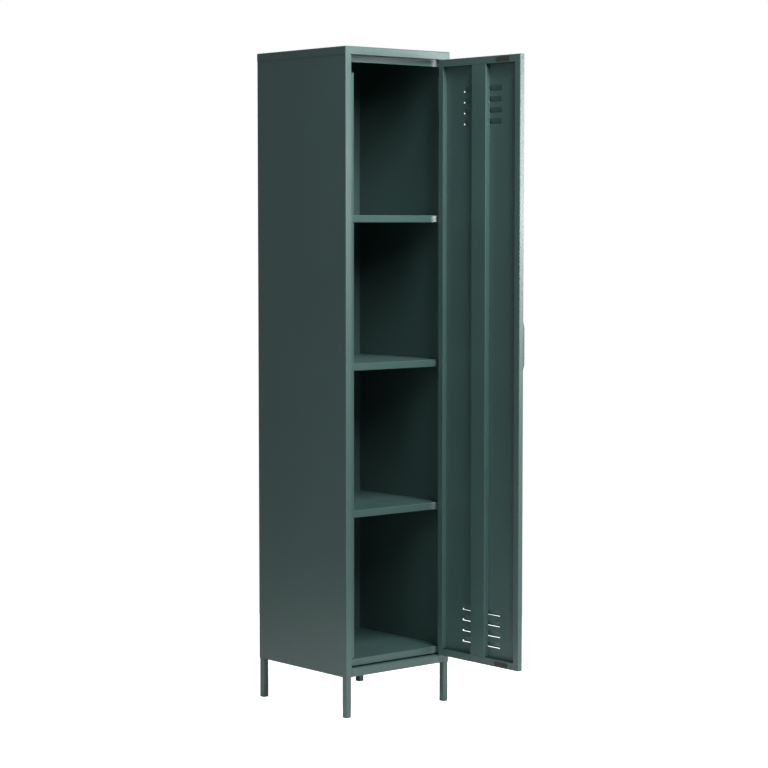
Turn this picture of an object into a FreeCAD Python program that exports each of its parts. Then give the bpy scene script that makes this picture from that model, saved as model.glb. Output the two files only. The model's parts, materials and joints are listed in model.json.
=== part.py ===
import FreeCAD, Part
import math
import os

# School locker: a one-door steel cabinet on four square legs.
# Millimetres. +X is to the right seen from the front, +Y to the back, +Z up.
# The origin is on the floor, at the centre of the cabinet's footprint.

Vector = FreeCAD.Vector

# Overall size
WIDTH = 380.0
DEPTH = 400.0
HEIGHT = 1850.0
BOX_BOTTOM = 113.5

# Sheet metal
SHEET = 0.8
BEND = 1.5
CORNER_BEND = 2.5

# Front frame
STILE_WIDTH = 20.7
CAP_SKIRT = 22.0
RAIL_TOP = 137.0
STOP_SETBACK = 17.2
STOP_LIP = 21.5
HINGE_SIDE_LIP = 6.0
STOP_LIP_BOTTOM = 162.0
STOP_LIP_TOP = 1779.5
STOP_STRIP_BOTTOM = 1808.5
REAR_FLANGE = 10.0

# Shelves, from the floor panel up: the height of each top face
SHELF_TOPS = {"floor_panel": 159.5, "shelf_lower": 574.5, "shelf_middle": 982.5, "shelf_upper": 1391.0}
SHELF_FRONT_FLANGE = 20.0
SHELF_SIDE_FLANGE = 12.0
SHELF_FRONT_HALF_WIDTH = 163.0
SHELF_TONGUE_HALF_WIDTH = 146.4
SHELF_HEM = 10.0

# Shelf clips
CLIP_SHEET = 1.2
CLIP_DROP = 13.0
CLIP_REACH = 14.0
CLIP_LENGTH = 20.0
CLIP_Y = 120.0

# Legs
LEG_SIDE = 18.0
LEG_WALL = 1.2
LEG_CORNER = 2.5
LEG_INSET = 1.8
GLIDE_FLANGE = 2.0
GLIDE_STEM = 12.0
PLUG_HEIGHT = 10.0
CORNER_PLATE_SIDE = 42.0
CORNER_PLATE_THICKNESS = 2.0
BOLT_RADIUS = 3.0
BOLT_HOLE_RADIUS = 3.3
BOLT_HEAD_RADIUS = 6.0
BOLT_HEAD_HEIGHT = 4.0
HEX_KEY = 5.0

# Door, given shut; DOOR_SWING turns it to the pose it stands in
DOOR_SWING = 90.0
DOOR_SIDE_GAP = 2.5
DOOR_GAP = 2.0
DOOR_THICKNESS = 16.0
DOOR_END_FLANGE = 20.5
DOOR_HINGE_FLANGE = 18.0
DOOR_FREE_FLANGE = 20.0
CHANNEL_WIDTH = 58.0

# Louvres
LOUVRE_HALF_WIDTH = 77.0
LOUVRE_HEIGHT = 15.5
LOUVRE_PITCH = 30.1
LOUVRE_COUNT = 4
LOUVRE_FLAP = 16.3
LOUVRE_ANGLE = 20.0
LOUVRE_CHEEK = 12.0
LOUVRE_TOPS = (1747.2, 294.5)

# Catch magnets
MAGNET_LENGTH = 54.0
MAGNET_HEIGHT = 12.0
MAGNET_THICKNESS = 0.8
MAGNET_FROM_EDGE = 10.0
MAGNET_X = -97.0
FLANGE_HOLE_X = -136.0
FLANGE_HOLE_RADIUS = 1.5
FLANGE_HOLE_FROM_END = (11.5, 10.0)

# Handle
HANDLE_BOTTOM = 970.5
HANDLE_LENGTH = 128.0
HANDLE_WIDTH = 32.0
HANDLE_PROUD = 4.5
HANDLE_RAMP = 14.0
STUD_RADIUS = 2.5
STUD_SPACING = 80.0
STUD_LENGTH = 5.0

# Hinges
HINGE_HEIGHT = 60.0
HINGE_LEAF = 1.0
KNUCKLE_RADIUS = 3.2
KNUCKLE_COUNT = 3
KNUCKLE_GAP = 0.4
PIN_RADIUS = 1.6
PIN_CLEARANCE = 0.05
PIN_HEAD = 1.2
HINGE_CENTRES = {"bottom": 300.0, "middle": 982.5, "top": 1665.0}

# Wall fixing
WALL_HOLE_RADIUS = 3.5
WALL_HOLE_SPACING = 240.0
WALL_HOLE_Z = 1780.0

# Worked out from the sizes above
CAP_X = WIDTH / 2
CAP_Y = DEPTH / 2
SIDE_X = CAP_X - SHEET
FRONT_Y = -(CAP_Y - SHEET)
REAR_Y = CAP_Y - SHEET
INNER_X = SIDE_X - SHEET
OPENING_X = SIDE_X - STILE_WIDTH
STOP_Y = FRONT_Y + STOP_SETBACK
RAIL_BOTTOM = HEIGHT - CAP_SKIRT
PANEL_TOP = HEIGHT - SHEET - 1.8
BACK_Y = REAR_Y - SHEET
BASE_Z = BOX_BOTTOM + SHEET
LEG_X = CAP_X - LEG_INSET - LEG_SIDE / 2
LEG_Y = CAP_Y - LEG_INSET - LEG_SIDE / 2
DOOR_X = OPENING_X - DOOR_SIDE_GAP
DOOR_BOTTOM = RAIL_TOP + DOOR_GAP
DOOR_TOP = RAIL_BOTTOM - DOOR_GAP
DOOR_FRONT_Y = -CAP_Y
DOOR_INNER_Y = DOOR_FRONT_Y + DOOR_THICKNESS
SKIN_Y = DOOR_FRONT_Y + SHEET
WINDOW_BOTTOM = DOOR_BOTTOM + DOOR_END_FLANGE
WINDOW_TOP = DOOR_TOP - DOOR_END_FLANGE
PIVOT_X = DOOR_X - 1.0
PIVOT_Y = DOOR_FRONT_Y - KNUCKLE_RADIUS - 0.3


def box(x0, x1, y0, y1, z0, z1):
    """A block between two corners, given in any order."""
    low = Vector(min(x0, x1), min(y0, y1), min(z0, z1))
    return Part.makeBox(abs(x1 - x0), abs(y1 - y0), abs(z1 - z0), low)


def cylinder(radius, start, end):
    """A round bar from one point to another."""
    along = end.sub(start)
    return Part.makeCylinder(radius, along.Length, start, along)


def soft_box(x0, x1, y0, y1, z0, z1, radius):
    """A block with every edge rounded."""
    block = box(x0, x1, y0, y1, z0, z1)
    return block.makeFillet(radius, block.Edges)


def rounded_face(points, radii, place):
    """A flat face from corner points, each rounded by its own radius; place(u, v) puts a point in space."""
    count = len(points)
    corners = []
    for index, radius in enumerate(radii):
        here = Vector(*points[index])
        back = Vector(*points[index - 1]).sub(here)
        ahead = Vector(*points[(index + 1) % count]).sub(here)
        back.normalize()
        ahead.normalize()
        if radius == 0:
            corners.append((here, here, here))
            continue
        half = back.getAngle(ahead) / 2
        cut = radius / math.tan(half)
        inward = back.add(ahead)
        inward.normalize()
        middle = here.add(inward.multiply(radius / math.sin(half) - radius))
        corners.append((here.add(back.multiply(cut)), middle, here.add(ahead.multiply(cut))))
    edges = []
    for index, (start, middle, end) in enumerate(corners):
        if (end.sub(start)).Length > 1e-6:
            edges.append(Part.Arc(place(start), place(middle), place(end)).toShape())
        following = corners[(index + 1) % count][0]
        if (following.sub(end)).Length > 1e-6:
            edges.append(Part.LineSegment(place(end), place(following)).toShape())
    return Part.Face(Part.Wire(edges))


def on_floor(z):
    """Puts a 2-D point in the horizontal plane at height z."""
    return lambda point: Vector(point.x, point.y, z)


def on_side(x):
    """Puts a 2-D point (y, z) in the vertical plane at x."""
    return lambda point: Vector(x, point.x, point.y)


def on_front(y):
    """Puts a 2-D point (x, z) in the vertical plane at y."""
    return lambda point: Vector(point.x, y, point.y)


def folded_sheet(path, place, along, thickness=SHEET, bend=BEND):
    """Sheet folded along path, with its metal on the left of the path, extruded by the vector along.

    Every fold is a right angle. bend is the radius on the outside of a fold.
    """
    count = len(path)
    headings = []
    for start, end in zip(path, path[1:]):
        length = math.hypot(end[0] - start[0], end[1] - start[1])
        headings.append(((end[0] - start[0]) / length, (end[1] - start[1]) / length))
    far_side = []
    radii = [0.0]
    far_radii = [0.0]
    for index, (u, v) in enumerate(path):
        before = headings[max(index - 1, 0)]
        after = headings[min(index, count - 2)]
        left = (-before[1], before[0])
        shift = (left[0], left[1])
        if 0 < index < count - 1:
            left_after = (-after[1], after[0])
            shift = (left[0] + left_after[0], left[1] + left_after[1])
            turns_left = before[0] * after[1] - before[1] * after[0] > 0
            radii.append(bend if turns_left else bend - thickness)
            far_radii.append(bend - thickness if turns_left else bend)
        far_side.append((u + thickness * shift[0], v + thickness * shift[1]))
    radii.append(0.0)
    far_radii.append(0.0)
    outline = list(path) + far_side[::-1]
    return rounded_face(outline, radii + far_radii[::-1], place).extrude(along)


def square_prism(x, y, side, radius, z0, z1):
    """An upright square bar with rounded corners, centred on x, y."""
    half = side / 2
    corners = [(x - half, y - half), (x + half, y - half), (x + half, y + half), (x - half, y + half)]
    return rounded_face(corners, [radius] * 4, on_floor(z0)).extrude(Vector(0, 0, z1 - z0))


def joined(shapes):
    """One solid from several touching ones."""
    whole = shapes[0].multiFuse(shapes[1:]) if len(shapes) > 1 else shapes[0]
    return whole.removeSplitter()


def four_corners(x, y):
    """The same place at all four corners of the cabinet."""
    return [(sx * x, sy * y) for sy in (-1, 1) for sx in (-1, 1)]


def mirrored(shape):
    """The shape on the other side of the cabinet."""
    return shape.mirror(Vector(0, 0, 0), Vector(1, 0, 0))


# ---- Cabinet ----


def side_panel(stop_lip):
    """The left side: wall, rear flange, front stile, its return and the lip the door shuts against."""
    lip_end = -OPENING_X + stop_lip
    path = [
        (-SIDE_X + REAR_FLANGE, REAR_Y),
        (-SIDE_X, REAR_Y),
        (-SIDE_X, FRONT_Y),
        (-OPENING_X, FRONT_Y),
        (-OPENING_X, STOP_Y),
        (lip_end, STOP_Y),
    ]
    rise = Vector(0, 0, PANEL_TOP - BOX_BOTTOM)
    panel = folded_sheet(path, on_floor(BOX_BOTTOM), rise, bend=CORNER_BEND - SHEET)
    past_lip = lip_end + 1
    cuts = [
        box(-OPENING_X - 2 * SHEET, past_lip, FRONT_Y + SHEET, STOP_Y + 5, BOX_BOTTOM - 1, RAIL_TOP),
        box(-OPENING_X, past_lip, STOP_Y - 1, STOP_Y + 5, BOX_BOTTOM - 1, STOP_LIP_BOTTOM),
        box(-OPENING_X, past_lip, STOP_Y - 1, STOP_Y + 5, STOP_LIP_TOP, HEIGHT),
    ]
    return panel.cut(cuts)


def back_panel():
    """A flat sheet just inside the rear flanges, with two holes for fixing it to a wall."""
    half = INNER_X - 1.0
    sheet = box(-half, half, BACK_Y - SHEET, BACK_Y, BASE_Z, PANEL_TOP)
    holes = []
    for side in (-1, 1):
        behind = Vector(side * WALL_HOLE_SPACING / 2, REAR_Y, WALL_HOLE_Z)
        holes.append(cylinder(WALL_HOLE_RADIUS, behind.sub(Vector(0, 5, 0)), behind))
    return sheet.cut(holes)


def top_cap():
    """A lid with a skirt on all four sides; the front skirt is the top rail of the frame."""
    below = RAIL_BOTTOM - 20
    outside = soft_box(-CAP_X, CAP_X, -CAP_Y, CAP_Y, below, HEIGHT, CORNER_BEND)
    inside = soft_box(-SIDE_X, SIDE_X, FRONT_Y, REAR_Y, below - 20, HEIGHT - SHEET, CORNER_BEND - SHEET)
    keep = box(-WIDTH, WIDTH, -DEPTH, DEPTH, RAIL_BOTTOM, HEIGHT + 1)
    return outside.cut(inside).common(keep)


def top_stop_rail():
    """Closes the top of the door opening and gives the top magnet its strike."""
    half = OPENING_X - 0.2
    path = [
        (FRONT_Y, RAIL_BOTTOM + 17),
        (FRONT_Y, RAIL_BOTTOM),
        (STOP_Y, RAIL_BOTTOM),
        (STOP_Y, STOP_STRIP_BOTTOM),
    ]
    return folded_sheet(path, on_side(-half), Vector(2 * half, 0, 0))


def base_rail():
    """The bottom rail of the frame, folded in at the top and under the base at the bottom."""
    half = OPENING_X - 0.2
    path = [
        (STOP_Y, RAIL_TOP - 10),
        (STOP_Y, RAIL_TOP),
        (FRONT_Y, RAIL_TOP),
        (FRONT_Y, BOX_BOTTOM),
        (FRONT_Y + 25, BOX_BOTTOM),
    ]
    return folded_sheet(path, on_side(-half), Vector(2 * half, 0, 0))


def base_pan():
    """The bottom plate, with flanges turned up along the sides and the back, and a hole over each leg."""
    top = BASE_Z + 18
    front = FRONT_Y + SHEET + 0.8
    outside = soft_box(-INNER_X, INNER_X, front - 20, BACK_Y - SHEET, BASE_Z, top + 20, BEND)
    inside = soft_box(
        -INNER_X + SHEET, INNER_X - SHEET, front - 40, BACK_Y - 2 * SHEET,
        BASE_Z + SHEET, top + 40, BEND - SHEET
    )
    keep = box(-WIDTH, WIDTH, front, DEPTH, BASE_Z - 1, top)
    pan = outside.cut(inside).common(keep)
    stile_notches = [
        box(side * OPENING_X, side * INNER_X, front, STOP_Y, BASE_Z + SHEET, top)
        for side in (-1, 1)
    ]
    holes = [
        cylinder(BOLT_HOLE_RADIUS, Vector(x, y, BASE_Z - 5), Vector(x, y, BASE_Z + 5))
        for x, y in four_corners(LEG_X, LEG_Y)
    ]
    return pan.cut(stile_notches + holes)


def shelf(top):
    """A tray shelf: short flanges all round, and a tongue folded down in front of the stop lips."""
    half = INNER_X - 0.9
    front = STOP_Y + SHEET + 0.2
    back = BACK_Y - SHEET - 1.1
    low = top - SHELF_SIDE_FLANGE
    outside = soft_box(-half, half, front, back, low - 20, top, BEND)
    inside = soft_box(
        -half + SHEET, half - SHEET, front + SHEET, back - SHEET,
        low - 40, top - SHEET, BEND - SHEET
    )
    tray = outside.cut(inside).common(box(-WIDTH, WIDTH, -DEPTH, DEPTH, low, top + 1))
    tongue = SHELF_TONGUE_HALF_WIDTH
    mouth = box(-tongue, tongue, front - 1, front + 2 * BEND, low - 1, top + 1)
    nose_front = STOP_Y - SHEET
    nose_path = [
        (front + 2 * BEND, top),
        (nose_front, top),
        (nose_front, top - SHELF_FRONT_FLANGE),
        (nose_front + SHELF_HEM, top - SHELF_FRONT_FLANGE),
    ]
    across = Vector(2 * SHELF_FRONT_HALF_WIDTH, 0, 0)
    nose = folded_sheet(nose_path, on_side(-SHELF_FRONT_HALF_WIDTH), across)
    beside_tongue = [
        box(side * tongue, side * SHELF_FRONT_HALF_WIDTH, STOP_Y, STOP_Y + 30, top - 30, top + 1)
        for side in (-1, 1)
    ]
    return joined([tray.cut(mouth), nose.cut(beside_tongue)])


def shelf_clips(top):
    """Four angle clips welded to the side panels, under the shelf's side flanges."""
    seat = top - SHELF_SIDE_FLANGE
    clips = []
    for y in (-CLIP_Y, CLIP_Y):
        path = [(-INNER_X + CLIP_REACH, seat), (-INNER_X, seat), (-INNER_X, seat - CLIP_DROP)]
        near_end = on_front(y - CLIP_LENGTH / 2)
        clip = folded_sheet(path, near_end, Vector(0, CLIP_LENGTH, 0), thickness=CLIP_SHEET, bend=2.0)
        clips += [clip, mirrored(clip)]
    return Part.makeCompound(clips)


# ---- Legs ----


def leg(x, y):
    """A square tube leg, open at both ends."""
    tube = square_prism(x, y, LEG_SIDE, LEG_CORNER, GLIDE_FLANGE, BASE_Z)
    bore = square_prism(x, y, LEG_SIDE - 2 * LEG_WALL, LEG_CORNER - LEG_WALL, GLIDE_FLANGE - 1, BASE_Z + 1)
    return tube.cut(bore)


def leg_plugs():
    """Threaded blocks welded into the tops of the legs."""
    side = LEG_SIDE - 2 * LEG_WALL - 0.1
    plugs = []
    for x, y in four_corners(LEG_X, LEG_Y):
        block = square_prism(x, y, side, LEG_CORNER - LEG_WALL, BASE_Z - PLUG_HEIGHT, BASE_Z)
        hole = cylinder(BOLT_RADIUS, Vector(x, y, BASE_Z - PLUG_HEIGHT - 1), Vector(x, y, BASE_Z + 1))
        plugs.append(block.cut(hole))
    return Part.makeCompound(plugs)


def corner_plates():
    """Square plates that spread each leg's load over the bottom plate."""
    plates = []
    low = BASE_Z + SHEET
    for x, y in four_corners(1, 1):
        outer_x = x * (INNER_X - SHEET - 0.8)
        outer_y = y * (BACK_Y - 3 * SHEET)
        plate = box(outer_x, outer_x - x * CORNER_PLATE_SIDE, outer_y, outer_y - y * CORNER_PLATE_SIDE,
                    low, low + CORNER_PLATE_THICKNESS)
        centre = Vector(x * LEG_X, y * LEG_Y, low - 1)
        plates.append(plate.cut(cylinder(BOLT_HOLE_RADIUS, centre, centre.add(Vector(0, 0, 5)))))
    return Part.makeCompound(plates)


def leg_bolts():
    """Socket-head bolts, put in from above through the corner plates."""
    seat = BASE_Z + SHEET + CORNER_PLATE_THICKNESS
    bolts = []
    for x, y in four_corners(LEG_X, LEG_Y):
        tip = Vector(x, y, BASE_Z - PLUG_HEIGHT + 0.5)
        shank = cylinder(BOLT_RADIUS - PIN_CLEARANCE, tip, Vector(x, y, seat + 1))
        head = cylinder(BOLT_HEAD_RADIUS, Vector(x, y, seat), Vector(x, y, seat + BOLT_HEAD_HEIGHT))
        rim = [edge for edge in head.Edges if edge.CenterOfMass.z > seat + BOLT_HEAD_HEIGHT - 0.1]
        key_radius = HEX_KEY / math.sqrt(3)
        angles = [math.radians(60 * step) for step in range(6)]
        corners = [(x + key_radius * math.cos(angle), y + key_radius * math.sin(angle)) for angle in angles]
        socket = rounded_face(corners, [0] * 6, on_floor(seat + 1.5)).extrude(Vector(0, 0, BOLT_HEAD_HEIGHT))
        bolts.append(joined([shank, head.makeChamfer(0.6, rim)]).cut(socket))
    return Part.makeCompound(bolts)


def foot_glides():
    """Plastic plugs in the feet of the legs; only their thin flanges show."""
    stem_side = LEG_SIDE - 2 * LEG_WALL - 0.2
    glides = []
    for x, y in four_corners(LEG_X, LEG_Y):
        flange = square_prism(x, y, LEG_SIDE, LEG_CORNER, 0, GLIDE_FLANGE)
        sole_edges = [edge for edge in flange.Edges if edge.BoundBox.ZMax < 0.01]
        stem_top = GLIDE_FLANGE + GLIDE_STEM
        stem = square_prism(x, y, stem_side, LEG_CORNER - LEG_WALL, GLIDE_FLANGE - 0.5, stem_top)
        well = cylinder(5.0, Vector(x, y, GLIDE_FLANGE + 1), Vector(x, y, stem_top + 1))
        glides.append(joined([flange.makeChamfer(0.5, sole_edges), stem]).cut(well))
    return Part.makeCompound(glides)


# ---- Hinges ----


def knuckle_spans(centre):
    """The knuckles of one hinge, bottom to top: odd ones are the frame's, even ones the door's."""
    pitch = HINGE_HEIGHT / KNUCKLE_COUNT
    spans = []
    for number in range(KNUCKLE_COUNT):
        low = centre - HINGE_HEIGHT / 2 + pitch * number
        spans.append((low + KNUCKLE_GAP / 2, low + pitch - KNUCKLE_GAP / 2))
    return spans[0::2], spans[1::2]


def hinge_leaf(centre, spans, leaf_x, back_y, bore_radius):
    """A leaf against the gap's wall at leaf_x (near, far), with its knuckles round the pin."""
    near, far = leaf_x
    plate_front = PIVOT_Y + KNUCKLE_RADIUS + 0.5
    pieces = [box(near, far, plate_front, back_y, centre - HINGE_HEIGHT / 2, centre + HINGE_HEIGHT / 2)]
    bores = []
    for low, high in spans:
        foot = Vector(PIVOT_X, PIVOT_Y, low)
        pieces.append(cylinder(KNUCKLE_RADIUS, foot, Vector(PIVOT_X, PIVOT_Y, high)))
        pieces.append(box(near, far, PIVOT_Y + bore_radius, plate_front + 1, low, high))
        bores.append(cylinder(bore_radius, foot.sub(Vector(0, 0, 1)), Vector(PIVOT_X, PIVOT_Y, high + 1)))
    return joined(pieces).cut(bores)


def hinge_frame_leaf(centre):
    """The leaf on the stile's return, gripping the pin."""
    spans = knuckle_spans(centre)[0]
    return hinge_leaf(centre, spans, (OPENING_X - HINGE_LEAF, OPENING_X), STOP_Y - 1, PIN_RADIUS)


def hinge_door_leaf(centre):
    """The leaf on the door's edge, free to turn on the pin."""
    spans = knuckle_spans(centre)[1]
    leaf_x = (DOOR_X, DOOR_X + HINGE_LEAF)
    return hinge_leaf(centre, spans, leaf_x, DOOR_INNER_Y - 1.5, PIN_RADIUS + PIN_CLEARANCE)


def hinge_pin(centre):
    """A pin with a flat head, dropped in from above."""
    low = Vector(PIVOT_X, PIVOT_Y, centre - HINGE_HEIGHT / 2)
    high = Vector(PIVOT_X, PIVOT_Y, centre + HINGE_HEIGHT / 2)
    shaft = cylinder(PIN_RADIUS, low, high)
    head = cylinder(PIN_RADIUS + 1.2, high, high.add(Vector(0, 0, PIN_HEAD)))
    return joined([shaft, head])


# ---- Door, modelled shut ----


def louvre(top):
    """A flap pushed outwards under a slot's top edge, with its ends closed down to the cheeks' depth."""
    angle = math.radians(LOUVRE_ANGLE)
    out, down = -math.sin(angle), -math.cos(angle)
    inner_tip = (SKIN_Y + LOUVRE_FLAP * out, top + LOUVRE_FLAP * down)
    outer_tip = (inner_tip[0] + SHEET * down, inner_tip[1] - SHEET * out)
    root_rise = SHEET * (1 / math.cos(angle) - math.tan(angle))
    root = (SKIN_Y, top)
    profile = [root, inner_tip, outer_tip, (DOOR_FRONT_Y, top + root_rise), (SKIN_Y, top + root_rise)]
    across = Vector(2 * LOUVRE_HALF_WIDTH, 0, 0)
    pieces = [rounded_face(profile, [0] * 5, on_side(-LOUVRE_HALF_WIDTH)).extrude(across)]
    cheek_z = top + LOUVRE_CHEEK * down
    cheek = [root, (SKIN_Y + LOUVRE_CHEEK * out, cheek_z), (SKIN_Y, cheek_z)]
    for start in (-LOUVRE_HALF_WIDTH, LOUVRE_HALF_WIDTH - SHEET):
        pieces.append(rounded_face(cheek, [0] * 3, on_side(start)).extrude(Vector(SHEET, 0, 0)))
    return joined(pieces)


def door_panel():
    """The door: a pan with flanges turned in all round, louvres, and a boxed hinge edge."""
    outside = soft_box(-DOOR_X, DOOR_X, DOOR_FRONT_Y, DOOR_INNER_Y, DOOR_BOTTOM, DOOR_TOP, BEND)
    inside = soft_box(
        -DOOR_X + SHEET, DOOR_X - SHEET, SKIN_Y, DOOR_INNER_Y - SHEET,
        DOOR_BOTTOM + SHEET, DOOR_TOP - SHEET, BEND - SHEET
    )
    window = box(
        -DOOR_X + DOOR_FREE_FLANGE, DOOR_X - DOOR_HINGE_FLANGE, DOOR_INNER_Y - 2 * SHEET, DOOR_INNER_Y + 1,
        WINDOW_BOTTOM, WINDOW_TOP
    )
    lip_x = DOOR_X - DOOR_HINGE_FLANGE
    boxed_edge = box(
        lip_x, lip_x + SHEET, SKIN_Y + 0.2, DOOR_INNER_Y - SHEET / 2,
        WINDOW_BOTTOM, WINDOW_TOP
    )
    cuts = []
    louvres = []
    for first_top in LOUVRE_TOPS:
        for row in range(LOUVRE_COUNT):
            top = first_top - LOUVRE_PITCH * row
            cuts.append(box(
                -LOUVRE_HALF_WIDTH, LOUVRE_HALF_WIDTH, DOOR_FRONT_Y - 1, SKIN_Y + 1,
                top - LOUVRE_HEIGHT, top
            ))
            louvres.append(louvre(top))
    for z in (DOOR_TOP - FLANGE_HOLE_FROM_END[0], DOOR_BOTTOM + FLANGE_HOLE_FROM_END[1]):
        start = Vector(FLANGE_HOLE_X, DOOR_INNER_Y - 3, z)
        cuts.append(cylinder(FLANGE_HOLE_RADIUS, start, start.add(Vector(0, 6, 0))))
    hook_hole = Vector(-DOOR_X - 2, DOOR_INNER_Y - DOOR_THICKNESS / 2, DOOR_TOP - 10)
    cuts.append(cylinder(FLANGE_HOLE_RADIUS, hook_hole, hook_hole.add(Vector(5, 0, 0))))
    for z in stud_heights():
        start = Vector(stud_x(), DOOR_FRONT_Y - 1, z)
        cuts.append(cylinder(STUD_RADIUS + PIN_CLEARANCE, start, start.add(Vector(0, 3, 0))))
    shell = outside.cut(inside).cut([window] + cuts)
    return joined([shell, boxed_edge] + louvres)


def door_stiffener():
    """A channel up the middle of the door, flush with the door's inner flanges."""
    half = CHANNEL_WIDTH / 2
    low = WINDOW_BOTTOM + 0.5
    high = WINDOW_TOP - 0.5
    path = [(half, SKIN_Y), (half, DOOR_INNER_Y), (-half, DOOR_INNER_Y), (-half, SKIN_Y)]
    return folded_sheet(path, on_floor(low), Vector(0, 0, high - low))


def door_magnet(centre_z):
    """A flat catch magnet on the inside of a door flange."""
    half = MAGNET_LENGTH / 2
    corners = [
        (MAGNET_X - half, centre_z - MAGNET_HEIGHT / 2),
        (MAGNET_X + half, centre_z - MAGNET_HEIGHT / 2),
        (MAGNET_X + half, centre_z + MAGNET_HEIGHT / 2),
        (MAGNET_X - half, centre_z + MAGNET_HEIGHT / 2),
    ]
    return rounded_face(corners, [1.0] * 4, on_front(DOOR_INNER_Y)).extrude(Vector(0, MAGNET_THICKNESS, 0))


def stud_x():
    """How far across the door the handle's studs stand."""
    return -DOOR_X + HANDLE_WIDTH / 2 - 2


def stud_heights():
    """The heights of the handle's two studs."""
    middle = HANDLE_BOTTOM + HANDLE_LENGTH / 2
    return (middle - STUD_SPACING / 2, middle + STUD_SPACING / 2)


def door_handle():
    """A low pull along the free edge: ramped ends, a finger groove on the hinge side, two studs."""
    top = HANDLE_BOTTOM + HANDLE_LENGTH
    face_y = DOOR_FRONT_Y - HANDLE_PROUD
    hill = [
        (DOOR_FRONT_Y, HANDLE_BOTTOM),
        (DOOR_FRONT_Y, top),
        (face_y, top - HANDLE_RAMP),
        (face_y, HANDLE_BOTTOM + HANDLE_RAMP),
    ]
    body = rounded_face(hill, [0, 0, 30.0, 30.0], on_side(-DOOR_X)).extrude(Vector(HANDLE_WIDTH, 0, 0))
    crest = [
        edge for edge in body.Edges
        if edge.BoundBox.YMax < DOOR_FRONT_Y - 0.5 * HANDLE_PROUD and edge.BoundBox.XLength < 0.01
    ]
    body = body.makeFillet(0.8, crest)
    groove_x = -DOOR_X + HANDLE_WIDTH
    groove = box(
        groove_x - 4.0, groove_x + 1, DOOR_FRONT_Y - 0.8, DOOR_FRONT_Y - 2.6,
        HANDLE_BOTTOM + HANDLE_RAMP + 6, top - HANDLE_RAMP - 6
    )
    studs = []
    for z in stud_heights():
        root = Vector(stud_x(), DOOR_FRONT_Y - 1, z)
        studs.append(cylinder(STUD_RADIUS, root, root.add(Vector(0, STUD_LENGTH + 1, 0))))
    return joined([body.cut(groove)] + studs)


def handle_push_nuts():
    """Push-on nuts on the handle's studs, inside the door's free edge."""
    nuts = []
    for z in stud_heights():
        start = Vector(stud_x(), SKIN_Y, z)
        ring = cylinder(6.0, start, start.add(Vector(0, 1.2, 0)))
        nuts.append(ring.cut(cylinder(STUD_RADIUS, start.sub(Vector(0, 1, 0)), start.add(Vector(0, 3, 0)))))
    return Part.makeCompound(nuts)


def swung_open(shape):
    """A shape of the shut door, turned about the hinge pins to the door's resting pose."""
    return shape.rotated(Vector(PIVOT_X, PIVOT_Y, 0), Vector(0, 0, 1), DOOR_SWING)


def build():
    """Every node's shape, by name."""
    nodes = {
        "side_panel_left": side_panel(STOP_LIP),
        "side_panel_right": mirrored(side_panel(HINGE_SIDE_LIP)),
        "back_panel": back_panel(),
        "top_cap": top_cap(),
        "top_stop_rail": top_stop_rail(),
        "base_rail": base_rail(),
        "base_pan": base_pan(),
        "leg_plugs": leg_plugs(),
        "base_corner_plates": corner_plates(),
        "leg_bolts": leg_bolts(),
        "foot_glides": foot_glides(),
    }
    for name, top in SHELF_TOPS.items():
        nodes[name] = shelf(top)
        nodes[name + "_clips"] = shelf_clips(top)
    leg_names = ("leg_front_left", "leg_front_right", "leg_rear_left", "leg_rear_right")
    for name, (x, y) in zip(leg_names, four_corners(LEG_X, LEG_Y)):
        nodes[name] = leg(x, y)
    door = {
        "door_panel": door_panel(),
        "door_stiffener": door_stiffener(),
        "door_magnet_top": door_magnet(DOOR_TOP - MAGNET_FROM_EDGE),
        "door_magnet_bottom": door_magnet(DOOR_BOTTOM + MAGNET_FROM_EDGE),
        "door_handle": door_handle(),
        "handle_push_nuts": handle_push_nuts(),
    }
    for place, centre in HINGE_CENTRES.items():
        nodes["hinge_frame_leaf_" + place] = hinge_frame_leaf(centre)
        nodes["hinge_pin_" + place] = hinge_pin(centre)
        door["hinge_door_leaf_" + place] = hinge_door_leaf(centre)
    for name, shape in door.items():
        nodes[name] = swung_open(shape)
    return nodes


os.makedirs("parts", exist_ok=True)
for node_name, node_shape in build().items():
    print(node_name, "valid" if node_shape.isValid() else "NOT VALID", len(node_shape.Solids), "solid(s)",
          round(node_shape.Volume), "mm3")
    node_shape.exportStep("parts/" + node_name + ".step")
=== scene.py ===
import json
import math

import bpy
from mathutils import Euler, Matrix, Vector

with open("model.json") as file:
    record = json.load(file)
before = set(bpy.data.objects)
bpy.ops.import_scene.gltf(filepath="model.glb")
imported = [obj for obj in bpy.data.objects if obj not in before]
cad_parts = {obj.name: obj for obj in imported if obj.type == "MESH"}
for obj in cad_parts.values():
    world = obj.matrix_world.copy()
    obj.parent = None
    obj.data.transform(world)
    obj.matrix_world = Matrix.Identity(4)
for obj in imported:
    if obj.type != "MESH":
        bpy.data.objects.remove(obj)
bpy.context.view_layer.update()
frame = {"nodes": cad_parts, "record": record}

# Lengths in metres unless the name says millimetres, angles in degrees, powers in watts

FLOOR_RADIUS = 1.5
FLOOR_GLOW = 1.0
WORLD_LIGHT = 0.16

# Name, place, the point it faces, width and height, power
LIGHTS = [
    ("soft_box_low_right", (2.65, -2.6, 1.4), (0, -0.25, 1.4), (1.2, 0.8), 37),
    ("key_front_right", (2.8, -2.7, 1.7), (0, -0.3, 1.5), (1.4, 0.8), 52),
    ("front", (0.2, -3.2, 2.9), (0, -0.3, 1.2), (1.4, 1.4), 50),
    ("front_left", (-0.7, -3.0, 3.0), (0, -0.3, 1.2), (1.4, 1.4), 78),
    ("top_front", (-0.2, -1.8, 3.35), (0, -0.3, 1.2), (0.9, 0.9), 112),
    ("left", (-3.2, -1.0, 1.7), (0, 0, 1.0), (1.6, 1.6), 27),
]

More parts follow.
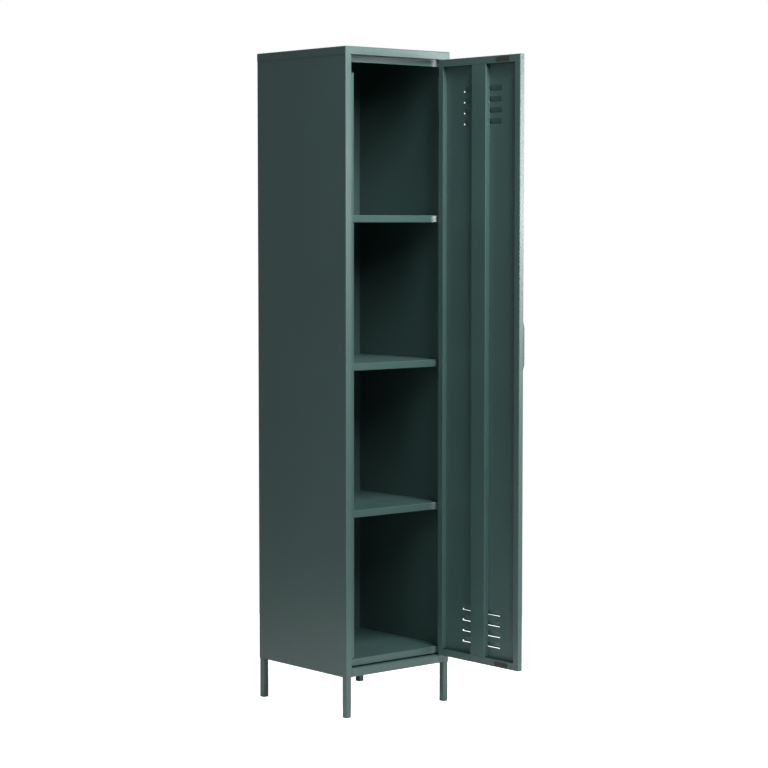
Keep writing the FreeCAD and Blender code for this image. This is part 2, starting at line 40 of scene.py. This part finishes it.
CAMERA_PLACE = (-4.1811, -5.0917, 1.3671)
CAMERA_DOWN = 3.9684
CAMERA_TURN = -40.1578
CAMERA_LENS_MM = 108.205
CAMERA_SENSOR_MM = 36.0
CAMERA_CLIP_NEAR = 0.5
CAMERA_CLIP_FAR = 60.0

# Where a Mix node keeps its colour sockets
MIX_FIRST = 6
MIX_SECOND = 7
MIX_RESULT = 2

# ---- Shader helpers ----


class Tree:
    """A material's node tree, built one node at a time."""

    def __init__(self, name):
        self.material = bpy.data.materials.new(name)
        self.material.use_nodes = True
        self.nodes = self.material.node_tree.nodes
        self.links = self.material.node_tree.links
        self.nodes.clear()
        out = self.add("ShaderNodeOutputMaterial")
        self.bsdf = self.add("ShaderNodeBsdfPrincipled")
        self.link(self.bsdf.outputs["BSDF"], out.inputs["Surface"])

    def add(self, kind, **settings):
        node = self.nodes.new(kind)
        for key, value in settings.items():
            setattr(node, key, value)
        return node

    def link(self, start, end):
        self.links.new(start, end)

    def place(self):
        """The point on the piece, in the piece's own frame."""
        return self.add("ShaderNodeTexCoord").outputs["Object"]

    def noise(self, scale, detail, roughness, place=None):
        node = self.add("ShaderNodeTexNoise")
        node.inputs["Scale"].default_value = scale
        node.inputs["Detail"].default_value = detail
        node.inputs["Roughness"].default_value = roughness
        self.link(place or self.place(), node.inputs["Vector"])
        return node.outputs["Fac"]

    def between(self, factor, low, high, start=0.0, end=1.0):
        """Runs from low to high as the factor runs from start to end."""
        node = self.add("ShaderNodeMapRange")
        node.inputs["From Min"].default_value = start
        node.inputs["From Max"].default_value = end
        node.inputs["To Min"].default_value = low
        node.inputs["To Max"].default_value = high
        self.link(factor, node.inputs["Value"])
        return node.outputs["Result"]

    def mix(self, factor, first, second):
        """Turns the first colour into the second; each is three numbers or a socket."""
        node = self.add("ShaderNodeMix", data_type="RGBA")
        self.link(factor, node.inputs["Factor"])
        for colour, socket in ((first, node.inputs[MIX_FIRST]), (second, node.inputs[MIX_SECOND])):
            if isinstance(colour, tuple):
                socket.default_value = (*colour, 1)
            else:
                self.link(colour, socket)
        return node.outputs[MIX_RESULT]

    def bump(self, height, strength, distance, normal=None):
        node = self.add("ShaderNodeBump")
        node.inputs["Strength"].default_value = strength
        node.inputs["Distance"].default_value = distance
        self.link(height, node.inputs["Height"])
        if normal is not None:
            self.link(normal, node.inputs["Normal"])
        return node.outputs["Normal"]

    def edges(self, radius):
        """0 on flat faces, rising towards 1 at the edges."""
        bevel = self.add("ShaderNodeBevel", samples=4)
        bevel.inputs["Radius"].default_value = radius
        flat = self.add("ShaderNodeNewGeometry")
        dot = self.add("ShaderNodeVectorMath", operation="DOT_PRODUCT")
        self.link(bevel.outputs["Normal"], dot.inputs[0])
        self.link(flat.outputs["Normal"], dot.inputs[1])
        return self.between(dot.outputs["Value"], 0.0, 1.0, 0.995, 0.80)


# ---- Materials ----


def powder_coat(name, deep, pale, wear):
    """Satin powder coat: orange peel, slow drift in colour, speckle, smudged gloss, thin wear on edges."""
    t = Tree(name)
    drift = t.noise(2.3, 3.0, 0.55)
    base = t.mix(t.between(drift, 0.0, 1.0, 0.3, 0.7), deep, pale)
    speckle = t.noise(900.0, 1.0, 0.4)
    base = t.mix(t.between(speckle, 0.0, 0.07, 0.52, 0.72), base, (0.080, 0.145, 0.135))
    edge = t.edges(0.0012)
    worn = t.noise(38.0, 4.0, 0.65)
    chips = t.add("ShaderNodeMath", operation="MULTIPLY")
    t.link(edge, chips.inputs[0])
    t.link(t.between(worn, 0.0, wear, 0.45, 0.75), chips.inputs[1])
    base = t.mix(chips.outputs[0], base, (0.16, 0.24, 0.23))
    t.link(base, t.bsdf.inputs["Base Color"])
    smudge = t.noise(5.5, 4.0, 0.55)
    t.link(t.between(smudge, 0.58, 0.66, 0.3, 0.7), t.bsdf.inputs["Roughness"])
    t.link(t.between(smudge, 0.29, 0.36, 0.3, 0.7), t.bsdf.inputs["Coat Roughness"])
    sag = t.bump(t.noise(9.0, 1.0, 0.3), 0.02, 0.004)
    peel = t.bump(t.noise(420.0, 2.0, 0.5), 0.025, 0.0004, sag)
    t.link(peel, t.bsdf.inputs["Normal"])
    t.bsdf.inputs["Specular IOR Level"].default_value = 0.5
    t.bsdf.inputs["Coat Weight"].default_value = 0.8
    return t.material


def worked_metal(name, dark, light, roughness, stretch):
    """Bare or plated steel with fine drawn lines and a little dulling."""
    t = Tree(name)
    mapping = t.add("ShaderNodeMapping")
    mapping.inputs["Scale"].default_value = stretch
    t.link(t.place(), mapping.inputs["Vector"])
    lines = t.noise(260.0, 3.0, 0.5, mapping.outputs["Vector"])
    cloud = t.noise(60.0, 3.0, 0.6)
    t.link(t.mix(t.between(cloud, 0.0, 1.0, 0.35, 0.65), dark, light), t.bsdf.inputs["Base Color"])
    t.link(t.between(lines, roughness - 0.08, roughness + 0.12), t.bsdf.inputs["Roughness"])
    t.link(t.bump(lines, 0.12, 0.0003), t.bsdf.inputs["Normal"])
    t.bsdf.inputs["Metallic"].default_value = 1.0
    return t.material


def dull_polymer(name, dark, light, roughness, grain):
    """Moulded plastic or flexible magnet: fine grain, scuffed paler on its edges."""
    t = Tree(name)
    patches = t.noise(70.0, 3.0, 0.6)
    base = t.mix(t.between(patches, 0.0, 1.0, 0.35, 0.65), dark, light)
    scuffed = tuple(2.2 * channel for channel in light)
    edge = t.edges(0.0006)
    base = t.mix(t.between(edge, 0.0, 0.35), base, scuffed)
    t.link(base, t.bsdf.inputs["Base Color"])
    fine = t.noise(grain, 2.0, 0.5)
    t.link(t.between(fine, roughness - 0.08, roughness + 0.1, 0.3, 0.7), t.bsdf.inputs["Roughness"])
    t.link(t.bump(fine, 0.15, 0.0003), t.bsdf.inputs["Normal"])
    return t.material


materials = {
    "paint": powder_coat("powder_coat", (0.021, 0.057, 0.052), (0.026, 0.066, 0.060), 0.12),
    "pin_steel": worked_metal("drawn_steel", (0.40, 0.40, 0.38), (0.56, 0.56, 0.53), 0.32, (6.0, 6.0, 0.6)),
    "plated_steel": worked_metal("zinc_plate", (0.46, 0.47, 0.46), (0.62, 0.62, 0.58), 0.36, (2.0, 2.0, 2.0)),
    "plain_steel": worked_metal("mild_steel", (0.24, 0.24, 0.24), (0.40, 0.39, 0.38), 0.45, (1.0, 4.0, 1.0)),
    "magnet": dull_polymer("magnet_strip", (0.015, 0.0135, 0.013), (0.026, 0.023, 0.022), 0.62, 600.0),
    "glide_plastic": dull_polymer("black_plastic", (0.016, 0.016, 0.017), (0.028, 0.028, 0.030), 0.5, 480.0),
}
for row in frame["record"]["subparts"]:
    mesh = frame["nodes"][row["node"]].data
    mesh.materials.clear()
    mesh.materials.append(materials[row["material_slot"]])

# ---- Floor, light, world ----


def studio_floor():
    """A pale paper disc. It glows only to the camera's own rays, so it stays white and adds no light."""
    t = Tree("studio_paper")
    t.link(t.mix(t.noise(1.4, 3.0, 0.5), (0.66, 0.66, 0.66), (0.70, 0.70, 0.70)), t.bsdf.inputs["Base Color"])
    t.link(t.between(t.noise(90.0, 2.0, 0.5), 0.85, 0.95), t.bsdf.inputs["Roughness"])
    t.bsdf.inputs["Emission Color"].default_value = (1, 1, 1, 1)
    seen = t.add("ShaderNodeLightPath").outputs["Is Camera Ray"]
    t.link(t.between(seen, 0.0, FLOOR_GLOW), t.bsdf.inputs["Emission Strength"])
    bpy.ops.mesh.primitive_circle_add(vertices=128, radius=FLOOR_RADIUS, fill_type="NGON")
    floor = bpy.context.object
    floor.name = "studio_floor"
    floor.data.materials.append(t.material)


def studio_world():
    """White where it is seen; as light, weak and even."""
    world = bpy.data.worlds.new("studio")
    world.use_nodes = True
    tree = world.node_tree
    tree.nodes.clear()
    out = tree.nodes.new("ShaderNodeOutputWorld")
    seen = tree.nodes.new("ShaderNodeBackground")
    seen.inputs["Color"].default_value = (1, 1, 1, 1)
    cast = tree.nodes.new("ShaderNodeBackground")
    cast.inputs["Color"].default_value = (1, 1, 1, 1)
    cast.inputs["Strength"].default_value = WORLD_LIGHT
    path = tree.nodes.new("ShaderNodeLightPath")
    choose = tree.nodes.new("ShaderNodeMixShader")
    tree.links.new(path.outputs["Is Camera Ray"], choose.inputs["Fac"])
    tree.links.new(cast.outputs["Background"], choose.inputs[1])
    tree.links.new(seen.outputs["Background"], choose.inputs[2])
    tree.links.new(choose.outputs["Shader"], out.inputs["Surface"])
    bpy.context.scene.world = world


def area_light(name, place, target, size, power):
    light = bpy.data.lights.new(name, "AREA")
    light.shape = "RECTANGLE"
    light.size, light.size_y = size
    light.energy = power
    holder = bpy.data.objects.new(name, light)
    holder.location = place
    holder.rotation_mode = "QUATERNION"
    holder.rotation_quaternion = (Vector(target) - Vector(place)).to_track_quat("-Z", "Y")
    bpy.context.scene.collection.objects.link(holder)


studio_floor()
studio_world()
for light_row in LIGHTS:
    area_light(*light_row)

# ---- Camera ----

camera = bpy.data.objects.new("camera", bpy.data.cameras.new("camera"))
camera.data.sensor_width = CAMERA_SENSOR_MM
camera.data.lens = CAMERA_LENS_MM
camera.data.clip_start = CAMERA_CLIP_NEAR
camera.data.clip_end = CAMERA_CLIP_FAR
camera.location = CAMERA_PLACE
camera.rotation_euler = Euler((math.radians(90 - CAMERA_DOWN), 0, math.radians(CAMERA_TURN)))
bpy.context.scene.collection.objects.link(camera)
bpy.context.scene.camera = camera
bpy.context.scene.view_settings.view_transform = "Standard"
